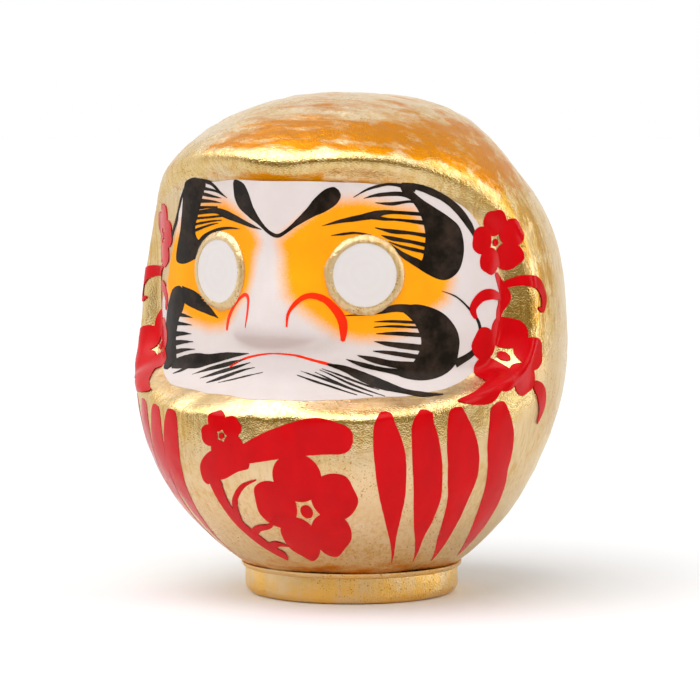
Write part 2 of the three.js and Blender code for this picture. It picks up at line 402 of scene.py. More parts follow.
def gold_paint(name, base_stain=0.0, lumps=1.0, dullness=0.25, amber=(0.60, 0.32, 0.045), metal=1.0):
    """Gold brushed on by hand: hazy where it dried matt, paler at the sides and top as painted sheen,
    smoother on the roll round the face with a deeper colour there as painted reflection, amber in stains,
    orange over the brow.
    """
    material, shader = new_material(name, (0.76, 0.57, 0.30), 0.3, metal)
    tree = material.node_tree
    cloud = pattern_noise(tree, 20, 5, (1, 1, 1.5), 0.62)
    fine_cloud = pattern_noise(tree, 75, 4, (1, 1, 1.3), 0.65)
    mottled = mask(tree, fine_cloud, 0.3, 0.7)

    hazy = blend_colour(tree, mottled, (0.78, 0.60, 0.37), (0.75, 0.56, 0.30))
    # Painted sheen: paler, less saturated gold where the surface turns away, at the sides and over the
    # crown.
    hazy = blend_colour(tree, painted_value(tree, "painted_sheen"), hazy, (0.79, 0.68, 0.52))
    # Deep: more saturated gold on the roll round the face, a painted reflection of the dark room; the
    # lower roughness there is the burnishing.
    deep = blend_colour(tree, mottled, (0.80, 0.61, 0.32), (0.72, 0.51, 0.20))
    uneven = multiply(tree, add(tree, fine_cloud, -0.5), 1.2)
    burnish_with_reflection = clamped(tree, add(tree, painted_value(tree, "burnish_and_painted_reflection"), uneven))
    tone = blend_colour(tree, burnish_with_reflection, hazy, deep)

    # Amber: clouds and brushed streaks all over, runs where it is aged, a tide mark above the floor.
    streaks = pattern_noise(tree, 520, 3, (1, 1, 0.045), 0.6)
    brushed = multiply(tree, mask(tree, streaks, 0.45, 0.66), mask(tree, cloud, 0.32, 0.56))
    stain = add(tree, multiply(tree, mask(tree, cloud, 0.54, 0.74), 0.5), multiply(tree, brushed, 0.55))
    runs = mask(tree, pattern_noise(tree, 105, 5, (1, 1, 0.34), 0.7), 0.44, 0.58)
    stain = add(tree, stain, multiply(tree, painted_value(tree, "aged"), runs))
    near_floor = mask(tree, object_place(tree)["Z"], 0.022, 0.0)
    tide = multiply(tree, multiply(tree, near_floor, mask(tree, fine_cloud, 0.30, 0.58)), base_stain)
    tone = blend_colour(tree, clamped(tree, add(tree, stain, tide)), tone, amber)

    # Orange over the brow, in the groove above the face and above the foot, broken into ripples.
    ripples = pattern_noise(tree, 66, 5, (0.5, 1.5, 2.6), 0.68)
    zone = add(tree, ripples, multiply(tree, painted_value(tree, "orange_tint"), 0.36))
    tone = blend_colour(tree, mask(tree, zone, 0.62, 0.82), tone, (0.63, 0.215, 0.0))
    specks = mask(tree, pattern_noise(tree, 1100, 1), 0.63, 0.71)
    speckled = mask(tree, pattern_noise(tree, 28, 2), 0.46, 0.58)
    tone = blend_colour(tree, multiply(tree, specks, speckled), tone, (0.40, 0.19, 0.015))
    link(material, tone, shader.inputs["Base Color"])

    polish = multiply(tree, mask(tree, fine_cloud, 0.25, 0.75), 0.12)
    matt = add(tree, polish, dullness)
    link(material, add(tree, matt, multiply(tree, burnish_with_reflection, -0.12)), shader.inputs["Roughness"])
    shader.inputs["Specular Tint"].default_value = (1.0, 0.95, 0.86, 1)
    grain = pattern_noise(tree, 1300, 2)
    height = add(tree, pulp_relief(material, lumps, 1.0), multiply(tree, grain, 0.42))
    link(material, bump(tree, height, 0.6, 0.0010), shader.inputs["Normal"])
    return material


def face_paint():
    """Chalky white with orange airbrushed from the painted mask, broken up at its edges."""
    material, shader = new_material("face_white_and_orange", (0.74, 0.67, 0.66), 0.55)
    tree = material.node_tree
    spray = pattern_noise(tree, 1500, 2, rough=0.7)
    edge = add(tree, painted_value(tree, "orange"), multiply(tree, add(tree, spray, -0.5), 0.6))
    amount = mask(tree, edge, 0.05, 0.85)
    cloudy = mask(tree, pattern_noise(tree, 60, 3), 0.3, 0.7)
    white = blend_colour(tree, cloudy, (0.70, 0.61, 0.58), (0.74, 0.66, 0.635))
    orange = blend_colour(tree, cloudy, (0.98, 0.33, 0.0), (1.0, 0.38, 0.0))
    # Painted shade under the tip of the nose, where its shadow falls, darkens the white.
    shade = multiply(tree, painted_value(tree, "shaded"), 0.75)
    white = blend_colour(tree, shade, white, (0.56, 0.45, 0.43))
    link(material, blend_colour(tree, amount, white, orange), shader.inputs["Base Color"])
    paper_bump(material, shader, 0.7, 0.8, 0.25, 0.0006)
    shader.inputs["Specular IOR Level"].default_value = 0.15
    return material


def black_ink():
    """Satin black, a little uneven, as it dries from a loaded brush."""
    material, shader = new_material("black_ink", (0.018, 0.017, 0.017), 0.42)
    shader.inputs["Specular IOR Level"].default_value = 0.13
    tree = material.node_tree
    cloudy = pattern_noise(tree, 80, 5, rough=0.7)
    thin = mask(tree, cloudy, 0.42, 0.70)
    colour = blend_colour(tree, thin, (0.008, 0.005, 0.003), (0.044, 0.026, 0.017))
    link(material, colour, shader.inputs["Base Color"])
    roughness = add(tree, multiply(tree, cloudy, 0.3), 0.28)
    link(material, roughness, shader.inputs["Roughness"])
    paper_bump(material, shader, 0.8, 0.8, 0.25, 0.0005)
    return material


def enamel(name, colour, deep, roughness):
    """Glossy brushed enamel with faint strokes along its length."""
    material, shader = new_material(name, colour, roughness)
    tree = material.node_tree
    strokes = pattern_noise(tree, 120, 3, (1, 1, 0.25))
    tint = blend_colour(tree, mask(tree, strokes, 0.3, 0.75), colour, deep)
    link(material, tint, shader.inputs["Base Color"])
    shader.inputs["Specular IOR Level"].default_value = 0.12
    paper_bump(material, shader, 0.6, 0.3, 0.2, 0.0006)
    return material


def eye_paint():
    """Flat white with faint round brush marks about each eye's middle."""
    material, shader = new_material("eye_white", (0.78, 0.73, 0.70), 0.45)
    tree = material.node_tree
    wobble = multiply(tree, pattern_noise(tree, 150, 3), 0.5)
    rings = mask(tree, add(tree, painted_value(tree, "brush_rings"), wobble), 0.35, 1.1)
    colour = blend_colour(tree, rings, (0.725, 0.67, 0.645), (0.715, 0.66, 0.635))
    link(material, colour, shader.inputs["Base Color"])
    paper_bump(material, shader, 0.5, 0.5, 0.2, 0.0004)
    return material


def plain_paper():
    """Bare pasted paper with its fibres showing, as on the strips and the disc underneath."""
    material, shader = new_material("bare_paper", (0.60, 0.52, 0.38), 0.9)
    tree = material.node_tree
    fibres = pattern_noise(tree, 240, 5, (1, 3, 1), 0.65)
    colour = blend_colour(tree, mask(tree, fibres, 0.3, 0.7), (0.64, 0.56, 0.42), (0.50, 0.42, 0.29))
    link(material, colour, shader.inputs["Base Color"])
    paper_bump(material, shader, 1.2, 2.0, 0.5, 0.0006)
    return material


def dried_clay():
    """Dull brown clay in lighter and darker patches."""
    material, shader = new_material("dried_clay", (0.25, 0.15, 0.09), 0.95)
    tree = material.node_tree
    patches = pattern_noise(tree, 80, 5, rough=0.6)
    colour = blend_colour(tree, mask(tree, patches, 0.3, 0.7), (0.30, 0.19, 0.11), (0.18, 0.11, 0.07))
    link(material, colour, shader.inputs["Base Color"])
    paper_bump(material, shader, 2.0, 2.0, 0.6, 0.001)
    return material


GOLD = gold_paint("gold_paint")
FOOT_GOLD = gold_paint(
    "foot_gold_paint", base_stain=1.0, lumps=1.2, dullness=0.3, amber=(0.86, 0.53, 0.13),
)
RING_GOLD = gold_paint("eye_ring_gold", lumps=1.6, dullness=0.3, metal=0.6)
FACE_WHITE = face_paint()
INK = black_ink()
RED = enamel("red_enamel", (0.62, 0.0, 0.003), (0.52, 0.0, 0.003), 0.2)
LIP_RED = enamel("lip_red", (0.95, 0.03, 0.0), (0.85, 0.02, 0.0), 0.35)
EYE_WHITE = eye_paint()
PAPER = plain_paper()
CLAY = dried_clay()


# ---- Shell ----
def shell_levels(step):
    """Levels of the body's rings: evenly spaced along its outline."""
    levels = [NECK_LEVEL]
    while levels[-1] < BODY_TOP - 0.02:
        level = levels[-1]
        trial = min(level + 0.05, BODY_TOP)
        rise = trial - level
        slope = math.hypot(rise, section_radius(trial) - section_radius(level)) / rise
        levels.append(min(level + step / max(slope, 1), BODY_TOP))
    levels[-1] = BODY_TOP
    return levels


def gold_wear(turn, level):
    """How much of the gold is burnish with painted reflection, and how much is tinted orange.

    On the roll round the face it is burnishing with a deeper colour that is painted reflection. It is
    tinted orange over the brow, in the groove above the face and where the body runs in to the foot.
    """
    from_rim = face_distance(math.radians(turn), level)
    broken = 5 * noise.noise(Vector((turn / 12, level / 9, 0)))
    beside = smooth(48, 64, abs(turn)) * smooth(110, 130, level)
    fades = smooth(mix(26, 46, beside), mix(14, 26, beside), from_rim + broken)
    # A band on the roll round the face: burnishing, with its deeper colour a painted reflection.
    burnish_and_painted_reflection = smooth(0, 5, from_rim) * fades
    ragged = 3 * noise.noise(Vector((turn / 9, 3, 0)))
    over_brow = smooth(12, 16, from_rim + ragged) * smooth(186, 204, level) * smooth(-48, -12, turn)
    crown = over_brow * mix(0.92, 0.4, smooth(222, 234, level)) * smooth(112, 78, turn)
    groove = 0.75 * smooth(7, 1, from_rim) * smooth(188, 199, level) * bell(turn - 2, 42)
    above_foot = 0.6 * smooth(25, 17, level)
    return burnish_and_painted_reflection * (1 - crown), max(crown, groove, above_foot)


def gold_age(turn, level):
    """Where amber has run down the right side, outside the roll round the face."""
    from_rim = face_distance(math.radians(turn), level)
    outside = smooth(9, 15, from_rim) * smooth(48, 28, from_rim)
    return outside * smooth(112, 138, level) * smooth(30, 55, turn)


def gold_painted_sheen(turn, level):
    """Painted sheen: how much paler the gold is where it turns away, on the left of the crown, at its
    very top and round the sides.
    """
    left_crown = smooth(-8, -42, turn) * smooth(180, 208, level)
    top = 0.7 * smooth(224, 236, level)
    right_side = 0.75 * smooth(84, 104, turn)
    left_side = 0.45 * smooth(-62, -84, turn)
    return max(left_crown, top, right_side, left_side)


def make_skin():
    """The body's outer surface, open at the neck, as one displaced sheet."""
    step = spacing(1.8)
    rings = [(section_radius(level), level) for level in shell_levels(step)]
    rings[-1] = (0, BODY_TOP)
    steps = int(math.tau * BODY_RADIUS / step)
    bm = turned(rings, steps)
    for vert in bm.verts:
        x, y, level = vert.co / MM
        ring = math.hypot(x, y)
        around = math.atan2(x, -y)
        x = ring * math.sin(around)
        y = -ring * math.cos(around) - lean(level, around)
        angle = math.atan2(x, -y)
        radius = math.hypot(x, y)
        if ring > 1e-3:
            radius = press_face(angle, radius, level)
        vert.co = Vector((radius * math.sin(angle), -radius * math.cos(angle), level)) * MM
    bmesh.ops.recalc_face_normals(bm, faces=bm.faces)
    bm.normal_update()
    burnish_and_painted_reflection, orange_tint, painted_sheen, aged = (
        bm.verts.layers.float.new(name) for name in ("burnish_and_painted_reflection", "orange_tint", "painted_sheen", "aged")
    )
    for vert in bm.verts:
        x, y, level = vert.co / MM
        turn = math.degrees(math.atan2(x, -y))
        vert[burnish_and_painted_reflection], vert[orange_tint] = gold_wear(turn, level)
        vert[painted_sheen] = gold_painted_sheen(turn, level)
        vert[aged] = gold_age(turn, level)
    shifts = [(vert, vert.normal * pulp(*(vert.co / MM)) * MM) for vert in bm.verts]
    for vert, shift in shifts:
        vert.co += shift
    return bm


def shell_half(bm, name, side):
    """One half of the shell: the skin cut at the joint and given its wall."""
    half = bm.copy()
    hairline = 0.02 * MM
    bmesh.ops.bisect_plane(
        half, geom=half.verts[:] + half.edges[:] + half.faces[:],
        plane_co=(0, side * hairline, 0), plane_no=(0, -side, 0), clear_outer=True,
    )
    bmesh.ops.recalc_face_normals(half, faces=half.faces)
    bmesh.ops.solidify(half, geom=half.faces[:], thickness=WALL * MM)
    return finished(name, half, GOLD)


def make_shell():
    bm = make_skin()
    front = shell_half(bm, "papier_mache_front", -1)
    back = shell_half(bm, "papier_mache_back", 1)
    bm.free()
    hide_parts("shell_front")
    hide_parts("shell_back")


# ---- Foot ----
def make_foot():
    """The gilt foot: an upright ring with a rounded lower edge, its wall turned in below."""
    edge = 4.5
    bend = FOOT_RADIUS - edge
    flange = bend - 7
    inside = FOOT_RADIUS - FOOT_WALL
    points = [(flange, 0), (bend - 3, 0)]
    for i in range(9):
        t = math.pi / 2 * i / 8
        points.append((bend + edge * math.sin(t), edge - edge * math.cos(t)))
    points += [(FOOT_RADIUS + 0.1, 8), (FOOT_RADIUS, 12), (FOOT_RADIUS - 0.3, FOOT_HEIGHT)]
    points += [(inside, FOOT_HEIGHT), (inside, 6), (bend, FOOT_WALL), (flange, FOOT_WALL)]
    bm = turned(points, 180, closed=True)
    for vert in bm.verts:
        x, y, z = vert.co / MM
        if z > 0.5:
            wave = 0.3 * noise.noise(Vector((x, y, z)) / 18) + 0.1 * noise.noise(Vector((x, y, z)) / 6)
            shift = Vector((x, y, 0)).normalized() * wave
            vert.co += shift * MM
    ring = finished("gilt_foot", bm, FOOT_GOLD, 40)
    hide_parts("foot_ring")


def make_collar():
    """The paper pasted round the top of the foot, uneven as it was smoothed down by hand."""
    inner = FOOT_RADIUS + 0.12
    points = [(inner, COLLAR_BOTTOM)]
    for i in range(1, 9):
        t = math.pi * i / 16
        points.append((
            inner + (COLLAR_RADIUS - inner) * math.sin(t),
            COLLAR_TOP - (COLLAR_TOP - COLLAR_BOTTOM) * math.cos(t) ** 1.5,
        ))
    points += [(COLLAR_RADIUS - 0.4, COLLAR_TOP + 0.1), (inner, COLLAR_TOP + 0.1)]
    bm = turned(points, 200, closed=True)
    for vert in bm.verts:
        x, y, z = vert.co / MM
        out = math.hypot(x, y) - inner
        if out > 0.05:
            place = Vector((x, y, 0))
            wave = noise.noise(place / 14) * 0.45 + noise.noise(place / 5) * 0.25
            vert.co += place.normalized() * wave * min(out, 1) * MM
            if z < COLLAR_TOP - 0.4:
                vert.co.z += noise.noise(place / 11 + Vector((9, 0, 0))) * 0.5 * min(out, 1) * MM
    collar = finished("pasted_collar", bm, FOOT_GOLD)
    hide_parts("foot_collar")


# ---- Paint laid on the surface ----
COAT = 0.2
INK_LIFT = COAT + 0.08
BODY_LIFT = 0.14
LAYER = 0.012
ROUGH_EDGE = 0.12

# Which ends of a stroke are blunt: its start, its end.
POINTED = (False, False)
BLUNT = (True, True)
START = (True, False)
END = (False, True)


def curved(a, b, c, d, t):
    """A value part of the way from b to c, on a smooth curve that comes from a and goes on to d."""
    return b + 0.5 * t * (c - a + t * (2 * a - 5 * b + 4 * c - d + t * (3 * (b - c) + d - a)))


def spline(points, share):
    """A place on a smooth curve through the points; share runs from 0 to 1."""
    spans = len(points) - 1
    place = min(max(share, 0), 1) * spans
    i = min(int(place), spans - 1)
    t = place - i
    quad = (points[max(i - 1, 0)], points[i], points[i + 1], points[min(i + 2, spans)])
    return [curved(*values, t) for values in zip(*quad)]


def stroke_sheet(bm, points, unroll, lift, ends, seed):
    """Adds one brush stroke to a bmesh. Points are (across, up, width); ends say which are blunt."""
    length = sum(math.dist(a[:2], b[:2]) for a, b in zip(points, points[1:]))
    widest = max(p[2] for p in points)
    grain = spacing(1.0)
    long_steps = max(int(length / grain), 6)
    wide_steps = max(int(widest / grain), 2)
    made = bmesh.ops.create_grid(bm, x_segments=long_steps, y_segments=wide_steps, size=0.5)["verts"]
    for vert in made:
        share = vert.co.x + 0.5
        side = vert.co.y * 2
        across, up, width = spline(points, share)
        ahead = spline(points, share + 0.01)
        behind = spline(points, share - 0.01)
        direction = Vector((ahead[0] - behind[0], ahead[1] - behind[1]))
        direction.normalize()
        width = max(width, 0.12)
        for blunt, distance in zip(ends, (share * length, (1 - share) * length)):
            if blunt and distance < width / 2:
                width *= math.sqrt(max(1 - (1 - 2 * distance / width) ** 2, 0.0004))
        jitter = noise.noise(Vector((across, up, seed)) / 2.2) * ROUGH_EDGE * abs(side)
        offset = side * (width / 2 + jitter)
        across -= direction.y * offset
        up += direction.x * offset
        vert.co = skin(across / unroll, up, lift)


def filled_sheet(bm, outline, unroll, lift):
    """Adds one filled shape to a bmesh, bounded by a smooth closed curve through (across, up) points."""
    grain = spacing(1.3)
    loop = outline + outline[:3]
    corners = []
    for i in range(len(outline)):
        quad = [loop[(i - 1) % len(outline)], loop[i], loop[i + 1], loop[i + 2]]
        pieces = max(int(math.dist(loop[i], loop[i + 1]) / grain), 1)
        for k in range(pieces):
            corners.append([curved(*values, k / pieces) for values in zip(*quad)])
    verts = [bm.verts.new((across, up, 0)) for across, up in corners]
    faces = [bm.faces.new(verts)]
    for axis in (0, 1):
        low = min(c[axis] for c in corners)
        high = max(c[axis] for c in corners)
        normal = (1, 0, 0) if axis == 0 else (0, 1, 0)
        line = low + grain
        while line < high - 0.2 * grain:
            geometry = set(faces)
            for face in faces:
                geometry.update(face.verts)
                geometry.update(face.edges)
            place = (line, 0, 0) if axis == 0 else (0, line, 0)
            cut = bmesh.ops.bisect_plane(
                bm, geom=list(geometry), dist=1e-4, plane_co=place, plane_no=normal,
            )
            faces = [item for item in cut["geom"] if isinstance(item, bmesh.types.BMFace)]
            line += grain
    for vert in {vert for face in faces for vert in face.verts}:
        vert.co = skin(vert.co.x / unroll, vert.co.y, lift)


def paint_piece(name, material, strokes, fills=(), unroll=FACE_UNROLL, lift=INK_LIFT, thick=0.2):
    """Brush strokes and filled shapes that dry as one coat of paint, made one piece.

    Each lies a hair above the one before it. A stroke is a list of points, with the ends that are
    blunt where it has any.
    """
    bm = bmesh.new()
    for layer, outline in enumerate(fills):
        filled_sheet(bm, outline, unroll, lift + layer * LAYER)
    for layer, stroke in enumerate(strokes, len(fills)):
        points, ends = stroke if isinstance(stroke, tuple) else (stroke, POINTED)
        stroke_sheet(bm, points, unroll, lift + layer * LAYER, ends, layer)
    bmesh.ops.recalc_face_normals(bm, faces=bm.faces)
    bm.normal_update()
    centre = Vector((0, 0, WIDEST_LEVEL * MM))
    inward = [face for face in bm.faces if face.normal.dot(face.calc_center_median() - centre) < 0]
    if inward:
        bmesh.ops.reverse_faces(bm, faces=inward)
    bmesh.ops.solidify(bm, geom=bm.faces[:], thickness=thick * MM)
    return finished(name, bm, material)


def ink_piece(name, strokes, fills=()):
    """Black ink on the face, laid out at FACE_UNROLL."""
    paint_piece(name, INK, strokes, fills)


def enamel_piece(name, strokes, fills=(), lift=BODY_LIFT, thick=0.12):
    """Red enamel on the body, laid out at BODY_UNROLL."""
    paint_piece(name, RED, strokes, fills, BODY_UNROLL, lift, thick)


# ---- Face: white coat with its airbrushed orange ----
ORANGE_RIGHT = [
    (-0.5, 174), (7, 181), (16, 188), (26, 192.5), (38, 193), (50, 191), (62, 188), (70, 176), (76, 166),
    (80, 156), (77, 146), (68, 140), (60, 132), (48, 128.5), (36, 128.5), (26, 131), (19, 136), (11, 143),
    (5, 149), (2.5, 158), (1.5, 166),
]
ORANGE_LEFT = [
    (-11, 173), (-14, 178), (-24, 186), (-36, 191), (-50, 191), (-62, 187), (-72, 176), (-84, 168),
    (-90, 154), (-84, 143), (-72, 138), (-62, 133), (-48, 131), (-38, 132), (-30, 137), (-23.5, 144),
    (-17, 150), (-15, 158), (-14, 166),
]
SPRAY_WIDTH = 5.8
NOSE_SHADE_MIDDLE = -6
NOSE_SHADE_REACH = 27
NOSE_SHADE_LEVEL = 123.5
NOSE_TIP_LEVEL = 135


def distance_inside(point, outline):
    """How far a flat point lies inside a closed outline, negative outside."""
    x, y = point
    nearest = 1e9
    inside = False
    for (ax, ay), (bx, by) in zip(outline, outline[1:] + outline[:1]):
        dx, dy = bx - ax, by - ay
        t = min(max(((x - ax) * dx + (y - ay) * dy) / (dx * dx + dy * dy), 0), 1)
        nearest = min(nearest, math.hypot(x - ax - t * dx, y - ay - t * dy))
        if (ay > y) != (by > y) and x < ax + dx * (y - ay) / dy:
            inside = not inside
    return nearest if inside else -nearest


# How much of the pressed band the white covers, at levels up the left and the right side.
LEFT_EDGE = [
    (101, 1), (112, 0.98), (121, 0.93), (129, 0.95), (135, 0.95), (141, 0.91), (147, 0.83), (153, 0.79),
    (163, 0.76), (170, 0.745), (180, 0.745), (188, 0.80), (196, 0.97), (202, 1),
]
RIGHT_EDGE = [(101, 1), (150, 0.995), (168, 0.96), (180, 0.965), (190, 0.985), (202, 1)]


def covered(level, edge):
    """The share of the band's width that is painted at a level, between the listed ones."""
    for (low, share), (high, next_share) in zip(edge, edge[1:]):
        if level < high:
            return mix(share, next_share, max(level - low, 0) / (high - low))
    return edge[-1][1]


def nose_shade(across, up):
    """Painted shade: a dusky crescent under the tip of the nose, where its shadow falls."""
    off = abs(across - NOSE_SHADE_MIDDLE) / NOSE_SHADE_REACH
    low = NOSE_SHADE_LEVEL + 6 * off * off
    high = NOSE_TIP_LEVEL - 5 * off * off
    return smooth(low - 1, low + 2, up) * smooth(high + 2.5, high - 6, up) * smooth(1.05, 0.7, off)


def make_face_coat():
    """The white painted face: a thin coat that ends in a hand-cut line round the pressed band."""
    grain = spacing(1.3)
    half_angle = math.radians(FACE_HALF_ANGLE)
    half_height = (FACE_TOP - FACE_BOTTOM) / 2
    middle = (FACE_TOP + FACE_BOTTOM) / 2
    bm = bmesh.new()
    wide_steps = int(2 * half_angle * FACE_UNROLL / grain)
    bmesh.ops.create_grid(bm, x_segments=wide_steps, y_segments=int(2 * half_height / grain), size=1)
    painted = bm.verts.layers.float.new("orange")
    shaded = bm.verts.layers.float.new("shaded")
    for vert in bm.verts:
        a, b = vert.co.x, vert.co.y
        reach = max(abs(a), abs(b))
        n = TOP_CORNERS if b > 0 else BOTTOM_CORNERS
        if reach > 1e-6:
            round_in = (abs(a / reach) ** n + abs(b / reach) ** n) ** (1 / n)
            a, b = a / round_in, b / round_in
        hand = 1 + reach**8 * 0.012 * noise.noise(Vector((a * 6, b * 3, 0)))
        across = a * half_angle * FACE_UNROLL * hand
        up = middle + b * half_height * hand * (0.963 if b < 0 else 1)
        across *= covered(up, LEFT_EDGE if across < 0 else RIGHT_EDGE)
        deep = max(distance_inside((across, up), outline) for outline in (ORANGE_RIGHT, ORANGE_LEFT))
        vert[painted] = smooth(-SPRAY_WIDTH, SPRAY_WIDTH, deep)
        vert[shaded] = nose_shade(across, up)
        vert.co = skin(across / FACE_UNROLL, up, COAT)
    bm.normal_update()
    bmesh.ops.solidify(bm, geom=bm.faces[:], thickness=0.25 * MM)
    finished("face_white_coat", bm, FACE_WHITE)


def eye_part(name, side, profile, material, rings=False):
    """A round part of an eye: a (distance, lift) profile spun flat, then laid on the eye's boss."""
    bm = turned(profile, 160 if FINE else 64, closed=profile[0][0] > 0)
    marks = bm.verts.layers.float.new("brush_rings")
    for vert in bm.verts:
        x, y, lift = vert.co / MM
        if rings:
            wobble = noise.noise(Vector((x / 6, y / 6, side)))
            vert[marks] = 0.5 + 0.5 * math.sin(math.hypot(x, y) * 1.4 + 2 * wobble)
        hand = 1
        if math.hypot(x, y) > EYE_WHITE_RADIUS + 1:
            hand += 0.03 * noise.noise(Vector((x / 9, y / 9, 5 + side)))
        if not rings and lift > 0.3:
            lift += 0.32 * noise.noise(Vector((x / 2.1, y / 2.1, 7 * side))) + 0.16
        angle = side * math.radians(EYE_ANGLE) + x * hand / EYE_UNROLL
        vert.co = skin(angle, EYE_LEVEL + y * hand, lift)
    return finished(name, bm, material, 60)


def make_eyes():
    """On each eye's boss a white disc and a gilt ring with a worked, uneven face."""
    steps = 28
    flat = [(EYE_WHITE_RADIUS * i / steps, 0.34) for i in range(steps)]
    white = flat + [(EYE_WHITE_RADIUS, 0.32), (EYE_WHITE_RADIUS, -0.1), (0, -0.1)]
    inner, outer = EYE_WHITE_RADIUS - 0.1, EYE_RING_RADIUS
    gilt = [
        (inner, -0.1), (inner, 0.38), (inner + 0.2, 0.42), (inner + 0.8, 0.43), (inner + 1.6, 0.42),
        (inner + 2.4, 0.41), (outer - 0.6, 0.4), (outer - 0.15, 0.36), (outer, 0.28), (outer, -0.1),
    ]
    for side, label in ((-1, "left"), (1, "right")):
        eye_part("eye_white_" + label, side, white, EYE_WHITE, rings=True)
        eye_part("eye_ring_" + label, side, gilt, RING_GOLD)


# ---- Ink on the face: (across, up) outlines and (across, up, width) strokes ----
def make_frown():
    """The black V of the frown, drawn in one pull from the left brow to the right."""
    pull = [
        (-29, 201, 2), (-25, 196.5, 9.5), (-21.5, 192, 10), (-16.5, 187, 6), (-10.5, 182, 2.5),
        (-5.5, 178, 1.7), (-1.2, 176.3, 1.9), (2.5, 178, 1.6), (8, 182.5, 2.5), (13.5, 187, 4.8),
        (18.5, 191, 8), (23, 194.5, 8.5), (26.5, 197.5, 5),
    ]
    ink_piece("ink_frown", [(pull, BLUNT)])


def make_right_brow():
    bulb = [
        (56, 199.5), (60.5, 197.5), (66, 193), (72, 189), (78, 185), (83, 180.5), (85, 175),
        (85.5, 168.5), (84, 161.5), (81, 157.5), (76.5, 155.5), (71, 157), (63.5, 162), (66, 165),
        (67, 170), (67.5, 175), (67, 180), (65.5, 185), (63.5, 189), (60.5, 193), (57, 196),
    ]
    strokes = [
        ([(56, 200, 1.5), (64.5, 198.5, 2.9), (72, 195.5, 3.3), (78, 192, 3.2), (83.5, 187, 3.4),
          (88, 181, 3.1), (90.5, 176.5, 2), (93, 171, 0.6)], START),
        [(33.5, 194, 0.2), (40, 197.5, 1.1), (47, 199.5, 1.3), (52, 200, 1.3), (57.5, 199, 2),
         (63, 197.5, 2.6)],
        [(38.5, 193.5, 0.2), (45, 195, 1.6), (56, 195.5, 2), (63, 193, 2.2)],
        [(44, 191.5, 0.2), (52, 191, 1.6), (60.5, 192, 1.1), (66, 190.5, 1.5)],
        [(19, 181, 0.3), (27, 183, 1.7), (36, 184.5, 2.7), (44, 186, 3.5), (48.5, 187, 2.2),
         (54.5, 187, 1.6), (67, 186, 1.8)],
        [(41, 185.3, 2.6), (48.5, 184, 1.4), (56, 183.5, 1.2), (68, 182, 2.2)],
        [(44, 180, 0.3), (52, 178.3, 1.9), (60.5, 177.5, 1.6), (69, 176, 1.9)],
        [(47, 176.5, 0.2), (52, 175, 1.9), (60.5, 173.5, 1.6), (69, 171.5, 1.9)],
        [(50.5, 173.5, 0.3), (57.5, 171, 1.3), (68, 168.5, 1.8)],
        [(23, 176.5, 0.2), (29, 177.2, 1.1), (35, 177.6, 0.9), (43, 176, 1), (50.5, 172, 1.7),
         (57.5, 167.2, 2.6), (63.5, 163.8, 3.7), (70, 160, 3.7)],
    ]
    ink_piece("ink_brow_right", strokes, [bulb])


def make_left_brow():
    bulb = [
        (-66.5, 198), (-60, 201), (-55, 200.8), (-50.5, 198.5), (-52.5, 193.5), (-54.5, 188.5),
        (-56.5, 183.5), (-58.5, 178), (-57.5, 173), (-52, 169), (-56, 164.5), (-63.5, 161.2),
        (-70, 160), (-75, 161.5), (-74, 168), (-71, 175.5), (-69.5, 182.5), (-68.5, 190),
    ]
    strokes = [
        [(-66, 196, 2.4), (-69.5, 191.5, 1.8), (-72, 186, 1.6), (-75, 180, 1.5), (-77.5, 176, 1.6),
         (-82, 169, 0.6)],
        [(-55.5, 200, 2), (-47, 199, 1.8), (-39, 194.5, 1), (-34.5, 192.5, 0.2)],
        [(-53.5, 196.5, 1.7), (-43.5, 195.5, 1.1), (-38, 193.5, 0.2)],
        [(-54.5, 194, 1.9), (-46, 193, 1.3), (-39, 192.3, 0.2)],
        [(-55.5, 190.5, 2.1), (-46, 190.5, 1.2), (-39, 190, 0.2)],
        [(-57, 187, 1.9), (-50, 187.6, 1.2), (-42, 188, 0.8)],
        [(-58.5, 184.5, 1.8), (-44, 186.2, 2.5), (-36.5, 185, 3.7), (-27, 183, 3), (-16.5, 180.5, 1.7),
         (-9.5, 179, 0.2)],
        [(-58.5, 182, 1.3), (-48, 183, 1), (-39, 184, 1)],
        [(-60, 179, 1.3), (-48, 181, 0.9), (-39, 182, 0.4)],
        [(-60, 176, 1.3), (-48, 179.3, 0.9), (-41.5, 180.5, 0.2)],
        [(-24.5, 178.5, 0.2), (-33, 178.6, 1), (-41, 177.5, 1.6), (-50, 174, 3.2), (-55, 169, 6),
         (-61, 164.5, 5)],
    ]
    ink_piece("ink_brow_left", strokes, [bulb])


